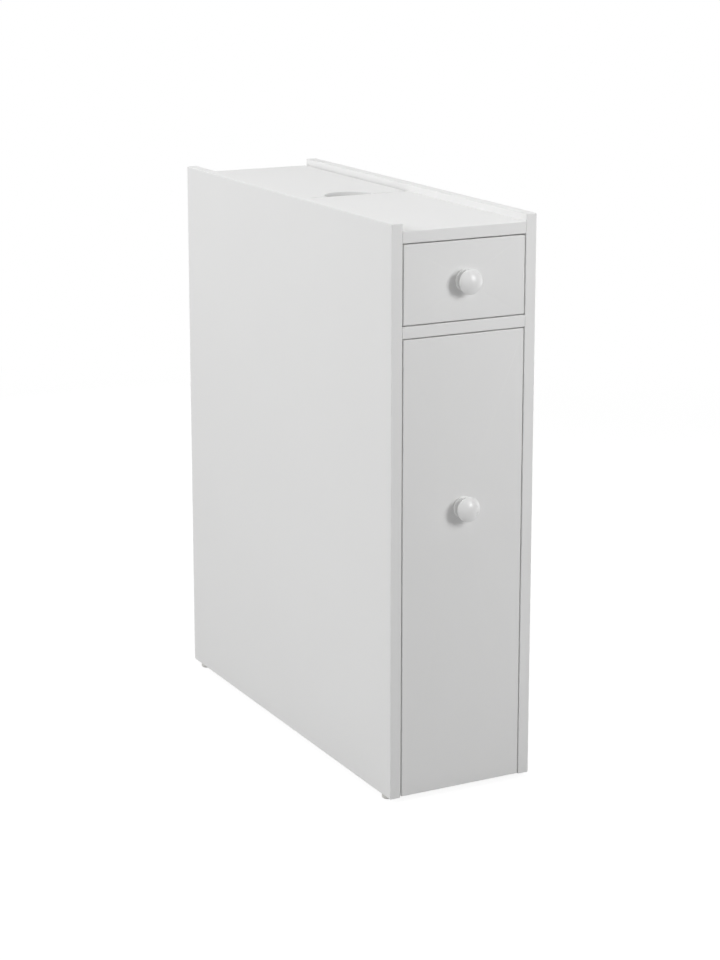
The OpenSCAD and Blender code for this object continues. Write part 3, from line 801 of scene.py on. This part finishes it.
@dataclass
class FlapLid:
    """The hinged lid: a slab with an arc along its rear edge and a finger notch in front."""

    body: str = "lid"
    node: str = "lid"
    notch_width: float = 53 * MM
    notch_depth: float = 24.5 * MM
    arc_radius: float = 10 * MM
    arc_strips: int = 12
    notch_facets: int = 160
    notch_tool_reach: float = 3.0
    edge_radius: float = 0.6 * MM
    edge_facets: int = 4
    edge_angle_deg: float = 30.0

    def build(self, fitter: Fitter) -> None:
        """Builds and dresses the lid.

        Args:
            fitter: Takes the pieces.
        """
        lo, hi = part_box(self.node)
        slab = add_block("lid_slab", lo, hi)
        self._round_rear(slab, lo, hi)
        combine(slab, self._notch_tool(lo, hi), Keep.REST)
        apply_modifier(slab, "BEVEL", width=self.edge_radius, segments=self.edge_facets,
                       limit_method="ANGLE", angle_limit=math.radians(self.edge_angle_deg))
        combine(slab, merged_copy(self.node), Keep.OVERLAP)
        smooth(slab)
        fitter.fit(slab, self.body, Slot.PAINTED_BOARD, self.node)
        fitter.dress(Slot.STEEL, "lid_pins")

    def _round_rear(self, slab: bpy.types.Object, lo: Vector, hi: Vector) -> None:
        """Gives the rear edge its arc about the pivot.

        Args:
            slab: The lid.
            lo: Its lowest corner.
            hi: Its highest corner.
        """
        pivot = Vector((0, hi.y - self.arc_radius, (lo.z + hi.z) / 2))

        def rear_upright(edge: bmesh.types.BMEdge) -> bool:
            """Whether an edge stands at the rear."""
            a, b = (vert.co for vert in edge.verts)
            return min(a.y, b.y) > hi.y - MERGE_GAP and abs(a.z - b.z) > MERGE_GAP

        with edit_mode(slab) as mesh:
            select_edges(slab, mesh, rear_upright)
            bpy.ops.mesh.subdivide(number_cuts=self.arc_strips - 1)
            for vert in bmesh.from_edit_mesh(slab.data).verts:
                if vert.co.y > hi.y - MERGE_GAP:
                    rise = vert.co.z - pivot.z
                    vert.co.y = pivot.y + math.sqrt(self.arc_radius ** 2 - rise ** 2)
            bmesh.update_edit_mesh(slab.data)

    def _notch_tool(self, lo: Vector, hi: Vector) -> bpy.types.Object:
        """Makes the cutter of the finger notch.

        Args:
            lo: The lid's lowest corner.
            hi: Its highest corner.

        Returns:
            An upright cylinder through the lid's front edge.
        """
        radius = ((self.notch_width / 2) ** 2 + self.notch_depth ** 2) / (2 * self.notch_depth)
        centre = (0, lo.y + self.notch_depth - radius, (lo.z + hi.z) / 2)
        through = self.notch_tool_reach * (hi.z - lo.z)
        bpy.ops.object.select_all(action="DESELECT")
        bpy.ops.mesh.primitive_cylinder_add(vertices=self.notch_facets, radius=radius,
                                            depth=through, location=centre)
        return bpy.context.active_object


@dataclass
class Knob:
    """A turned knob: flange, cove, neck, cup, and a head with a rounded rim and a low dome."""

    node: str
    body: str
    flange_radius: float = 11 * MM
    flange_thick: float = 2.2 * MM
    cove_radius: float = 1.4 * MM
    neck_radius: float = 6 * MM
    neck_length: float = 5 * MM
    rim_radius: float = 1.9 * MM
    dome_radius: float = 16.6 * MM
    cup: tuple[Point2, ...] = ((0.0, 0.0), (0.06, 0.15), (0.24, 0.29), (0.63, 0.47),
                               (0.86, 0.72))
    bore_radius: float = 2.05 * MM
    bore_depth: float = 10.5 * MM
    foot_points: int = 9
    cove_points: int = 6
    rim_points: int = 12
    dome_points: int = 21
    smooth_deg: float = 50.0

    def build(self, fitter: Fitter) -> None:
        """Turns and places the knob.

        Args:
            fitter: Takes the piece.
        """
        lo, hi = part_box(self.node)
        knob = turn_profile(f"{self.node}_turned", self._profile((hi.x - lo.x) / 2, hi.y - lo.y))
        smooth(knob, self.smooth_deg)
        foot = Vector(((lo.x + hi.x) / 2, hi.y, (lo.z + hi.z) / 2))
        place_mesh(knob, Matrix.Translation(foot) @ Matrix.Rotation(math.pi / 2, 4, "X"))
        fitter.fit(knob, self.body, Slot.KNOB_PAINT, self.node)

    def _profile(self, head_radius: float, reach: float) -> list[Point2]:
        """Outline from the bore's end, out over the foot and up to the crown.

        Args:
            head_radius: Radius of the head.
            reach: Length along the axis.

        Returns:
            Radius and height of each point.
        """
        foot = self.flange_thick / 2
        foot_centre = (self.flange_radius - foot, foot)
        cove_centre = (self.neck_radius + self.cove_radius, self.flange_thick + self.cove_radius)
        dome_z = reach - self.dome_radius
        rim_x = head_radius - self.rim_radius
        lift = math.sqrt((self.dome_radius - self.rim_radius) ** 2 - rim_x ** 2)
        rim_z = dome_z + lift
        cup_height = rim_z - self.rim_radius - self.neck_length
        touch_deg = math.degrees(math.atan2(lift, rim_x))
        return [
            (0.0, self.bore_depth), (self.bore_radius, self.bore_depth), (self.bore_radius, 0.0),
            *arc(foot_centre, foot, -90, 90, self.foot_points),
            *arc(cove_centre, self.cove_radius, 270, 180, self.cove_points),
            *[(self.neck_radius + (rim_x - self.neck_radius) * across,
               self.neck_length + cup_height * up) for across, up in self.cup],
            *arc((rim_x, rim_z), self.rim_radius, -90, touch_deg, self.rim_points),
            *arc((0.0, dome_z), self.dome_radius, touch_deg, 90, self.dome_points)[1:],
        ]


@dataclass
class Drawer:
    """The small drawer: front, sides, back, bottom, knob and fasteners."""

    body: str = "drawer"

    def build(self, fitter: Fitter) -> None:
        """Builds and dresses the drawer.

        Args:
            fitter: Takes the pieces.
        """
        fitter.fit(Board("drawer_front").build(), self.body, Slot.PAINTED_BOARD, "drawer_front")
        for node in ("drawer_side_left", "drawer_side_right"):
            fitter.fit(Board(node, (Axis.Y,)).build(), self.body, Slot.INNER_BOARD, node)
        fitter.fit(Board("drawer_back", (Axis.X,)).build(), self.body, Slot.INNER_BOARD,
                   "drawer_back")
        Knob("drawer_knob", self.body).build(fitter)
        fitter.dress(Slot.HARDBOARD, "drawer_bottom")
        fitter.dress(Slot.BEECH, "drawer_dowels")
        fitter.dress(Slot.STEEL, "drawer_screws", "drawer_knob_screw")


@dataclass
class PullOut:
    """The tall pull-out: front, base, divider, back, shelf, guard rails and fasteners."""

    body: str = "pullout"
    rails: tuple[str, ...] = ("guard_rail_lower_left", "guard_rail_lower_right",
                              "guard_rail_upper_left", "guard_rail_upper_right")

    def build(self, fitter: Fitter) -> None:
        """Builds and dresses the pull-out.

        Args:
            fitter: Takes the pieces.
        """
        fitter.fit(Board("pullout_front").build(), self.body, Slot.PAINTED_BOARD,
                   "pullout_front")
        for node in ("pullout_base", "pullout_shelf", *self.rails):
            fitter.fit(Board(node, (Axis.Y,)).build(), self.body, Slot.INNER_BOARD, node)
        for node in ("pullout_divider", "pullout_back"):
            fitter.fit(Board(node, (Axis.Z,)).build(), self.body, Slot.INNER_BOARD, node)
        Knob("pullout_knob", self.body).build(fitter)
        fitter.dress(Slot.BEECH, "pullout_dowels")
        fitter.dress(Slot.STEEL, "shelf_pins", "guard_rail_screws", "pullout_cam_bolts",
                     "pullout_cam_discs", "pullout_screws", "pullout_knob_screw",
                     "castor_axles", "castor_screws")


@dataclass
class Castors:
    """Four castors: pressed steel forks and moulded wheels with ribbed webs."""

    corners: tuple[str, ...] = ("front_left", "front_right", "rear_left", "rear_right")
    bore_radius: float = 2.55 * MM
    hub_radius: float = 4.7 * MM
    web_half: float = 1.67 * MM
    rim_inner: float = 9.5 * MM
    tread_radius: float = 2 * MM
    hub_round: float = 0.5 * MM
    rib_half_thick: float = 0.7 * MM
    rib_half_width: float = 3.8 * MM
    rib_overlap: float = 1 * MM
    rib_count: int = 5
    tread_points: int = 7
    smooth_deg: float = 40.0

    def build(self, fitter: Fitter) -> None:
        """Models one wheel and fits a copy of it on each castor.

        Args:
            fitter: Takes the pieces.
        """
        lo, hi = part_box(f"castor_wheel_{self.corners[0]}")
        pattern = self._wheel((hi.z - lo.z) / 2, (hi.x - lo.x) / 2)
        for corner in self.corners:
            node = f"castor_wheel_{corner}"
            wheel = own_copy(pattern, f"{node}_moulded")
            lo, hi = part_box(node)
            place_mesh(wheel, Matrix.Translation((lo + hi) / 2)
                       @ Matrix.Rotation(math.pi / 2, 4, "Y"))
            fitter.fit(wheel, f"wheel_{corner}", Slot.WHEEL_PLASTIC, node)
            fitter.dress(Slot.STEEL, f"castor_bracket_{corner}")
        bpy.data.objects.remove(pattern)

    def _wheel(self, radius: float, half_width: float) -> bpy.types.Object:
        """Turns a wheel and adds the ribs of its web.

        Args:
            radius: Radius of the tread.
            half_width: Half the wheel's width.

        Returns:
            The wheel, centred on the origin with its axis on Z.
        """
        upper = [
            (self.bore_radius, 0.0), (self.bore_radius, half_width),
            (self.hub_radius - self.hub_round, half_width),
            (self.hub_radius, half_width - self.hub_round),
            (self.hub_radius, self.web_half), (self.rim_inner, self.web_half),
            (self.rim_inner, half_width),
            *arc((radius - self.tread_radius, half_width - self.tread_radius),
                 self.tread_radius, 90, 0, self.tread_points),
        ]
        lower = [(r, -z) for r, z in reversed(upper)]
        wheel = turn_profile("castor_wheel_pattern", upper + lower)
        inner, outer = self.hub_radius - self.rib_overlap, self.rim_inner + self.rib_overlap
        pattern = add_block("rib_pattern",
                            Vector((inner, -self.rib_half_thick, -self.rib_half_width)),
                            Vector((outer, self.rib_half_thick, self.rib_half_width)))
        for number in range(self.rib_count):
            rib = own_copy(pattern, f"rib_{number}")
            place_mesh(rib, Matrix.Rotation(FULL_TURN * number / self.rib_count, 4, "Z"))
            combine(wheel, rib, Keep.BOTH)
        bpy.data.objects.remove(pattern)
        smooth(wheel, self.smooth_deg)
        return wheel


# Studio

@dataclass(frozen=True)
class SoftBox:
    """A white area lamp aimed at a point."""

    name: str
    place: Point3
    aim: Point3
    width: float
    height: float
    watts: float

    def build(self) -> None:
        """Adds the lamp."""
        bpy.ops.object.select_all(action="DESELECT")
        bpy.ops.object.light_add(type="AREA", location=self.place)
        lamp = bpy.context.active_object
        lamp.name = lamp.data.name = self.name
        way = Vector(self.aim) - Vector(self.place)
        lamp.rotation_euler = way.to_track_quat("-Z", "Y").to_euler()
        lamp.data.shape = "RECTANGLE"
        lamp.data.size = self.width
        lamp.data.size_y = self.height
        lamp.data.energy = self.watts
        log.info("lamp %s, %.1f W", self.name, self.watts)


# The last two stand low, for the right side and the back, which the photograph doesn't show
LAMPS = (
    SoftBox("left_broad", place=(-2.25, 0.02, 1.6), aim=(0, 0.02, -0.8),
            width=1.5, height=1.3, watts=40.2),
    SoftBox("right_key", place=(0.616, -1.405, 0.941), aim=(0, -0.2, 0.65),
            width=0.455, height=0.665, watts=11.05),
    SoftBox("overhead", place=(0.1, 0.05, 1.9), aim=(0, 0, 0.5),
            width=1.6, height=1.6, watts=9.9),
    SoftBox("right_fill", place=(1.5, 0.2, 0.3), aim=(0, 0.1, 0.3),
            width=0.9, height=0.5, watts=4.4),
    SoftBox("rear_fill", place=(0.05, 1.65, 0.5), aim=(0, 0.2, 0.4),
            width=0.8, height=0.8, watts=8.0),
)


@dataclass(frozen=True)
class Studio:
    """White floor and surroundings, soft lamps and the camera.

    The floor's three shares are what it glows with near the object, what it adds there of the
    light that falls on it, so that a shadow shows, and what it throws back at the object.
    """

    lamps: tuple[SoftBox, ...] = LAMPS
    camera_place: Point3 = (-1.1310, -2.1762, 0.9191)
    camera_yaw_deg: float = 27.61
    camera_pitch_deg: float = 12.56
    lens: float = 89.15
    sensor: float = 36.0
    shift_y: float = -0.1
    view_reach: float = 200.0
    ambient: float = 0.12
    floor_glow: float = 0.9
    floor_shade: float = 0.16
    floor_bounce: float = 0.55
    shadow_reach: tuple[float, float] = (0.8, 1.9)
    floor_size: float = 60.0

    def build(self) -> None:
        """Sets up the stage, the light and the camera."""
        self._set_view()
        self._build_world()
        self._build_floor()
        for lamp in self.lamps:
            lamp.build()
        self._build_camera()

    @staticmethod
    def _set_view() -> None:
        """Chooses the plain display transform."""
        bpy.context.scene.view_settings.view_transform = "Standard"

    @staticmethod
    def _seen(graph: FinishGraph) -> Signal:
        """1 for rays from the camera, from gloss and through glass.

        Args:
            graph: The graph to add to.

        Returns:
            The mask.
        """
        outputs = graph.node("ShaderNodeLightPath").socket.node.outputs
        camera, gloss, glass = (Signal(graph, outputs[name]) for name in (
            "Is Camera Ray", "Is Glossy Ray", "Is Transmission Ray"))
        return (camera + gloss + glass).mask()

    @staticmethod
    def _light(graph: FinishGraph, kind: str, strength: float) -> Signal:
        """White light from a node of this type. A strength of 1 is seen white."""
        return graph.node(kind, {}, {"Color": (*WHITE, 1.0), "Strength": strength})

    @staticmethod
    def _matt(graph: FinishGraph, share: float) -> Signal:
        """Matt grey that throws back a share of the light."""
        return graph.node("ShaderNodeBsdfDiffuse", {}, {"Color": (*shade(WHITE, share), 1.0)})

    def _build_world(self) -> None:
        """Makes surroundings that are seen white and light softly."""
        world = bpy.data.worlds.new("white_studio")
        bpy.context.scene.world = world
        graph = FinishGraph(world)
        ambient = self._light(graph, "ShaderNodeBackground", self.ambient)
        white = self._light(graph, "ShaderNodeBackground", 1.0)
        mixed = graph.node("ShaderNodeMixShader", {},
                           {0: self._seen(graph), 1: ambient, 2: white})
        graph.node("ShaderNodeOutputWorld", {}, {"Surface": mixed})

    def _build_floor(self) -> None:
        """Makes a floor that is seen white, pure white away from the object's shadow."""
        bpy.ops.object.select_all(action="DESELECT")
        bpy.ops.mesh.primitive_plane_add(size=self.floor_size)
        floor = bpy.context.active_object
        floor.name = floor.data.name = "studio_floor"
        material = bpy.data.materials.new("studio_white")
        graph = FinishGraph(material)
        glow = self._light(graph, "ShaderNodeEmission", self.floor_glow)
        near = graph.node("ShaderNodeAddShader", {},
                          {0: self._matt(graph, self.floor_shade), 1: glow})
        far = self._light(graph, "ShaderNodeEmission", 1.0)
        distance = graph.node("ShaderNodeVectorMath", {"operation": "LENGTH"},
                              {0: graph.place()}, "Value")
        start, end = self.shadow_reach
        fade = graph.node("ShaderNodeMapRange", {"interpolation_type": "SMOOTHSTEP"},
                          {"Value": distance, "From Min": start, "From Max": end})
        white = graph.node("ShaderNodeMixShader", {}, {0: fade, 1: near, 2: far})
        bounce = self._matt(graph, self.floor_bounce)
        mixed = graph.node("ShaderNodeMixShader", {}, {0: self._seen(graph), 1: bounce, 2: white})
        graph.node("ShaderNodeOutputMaterial", {}, {"Surface": mixed})
        floor.data.materials.append(material)

    def _build_camera(self) -> None:
        """Adds the camera at the photograph's viewing angle."""
        bpy.ops.object.select_all(action="DESELECT")
        bpy.ops.object.camera_add(location=self.camera_place, rotation=(
            math.radians(90 - self.camera_pitch_deg), 0, -math.radians(self.camera_yaw_deg)))
        camera = bpy.context.active_object
        camera.name = camera.data.name = "photo_camera"
        camera.data.sensor_width = self.sensor
        camera.data.lens = self.lens
        camera.data.shift_y = self.shift_y
        camera.data.clip_end = self.view_reach
        bpy.context.scene.camera = camera


def main() -> None:
    """Builds the sub-assemblies in order, then the studio."""
    logging.basicConfig(level=logging.INFO, format="%(name)s: %(message)s")
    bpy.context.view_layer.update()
    fitter = Fitter(Finishes.mixed())
    for assembly in (Carcass(), FlapLid(), Drawer(), PullOut(), Castors()):
        assembly.build(fitter)
    log.info("%d new pieces", fitter.count)
    Studio().build()


if __name__ == "__main__":
    main()
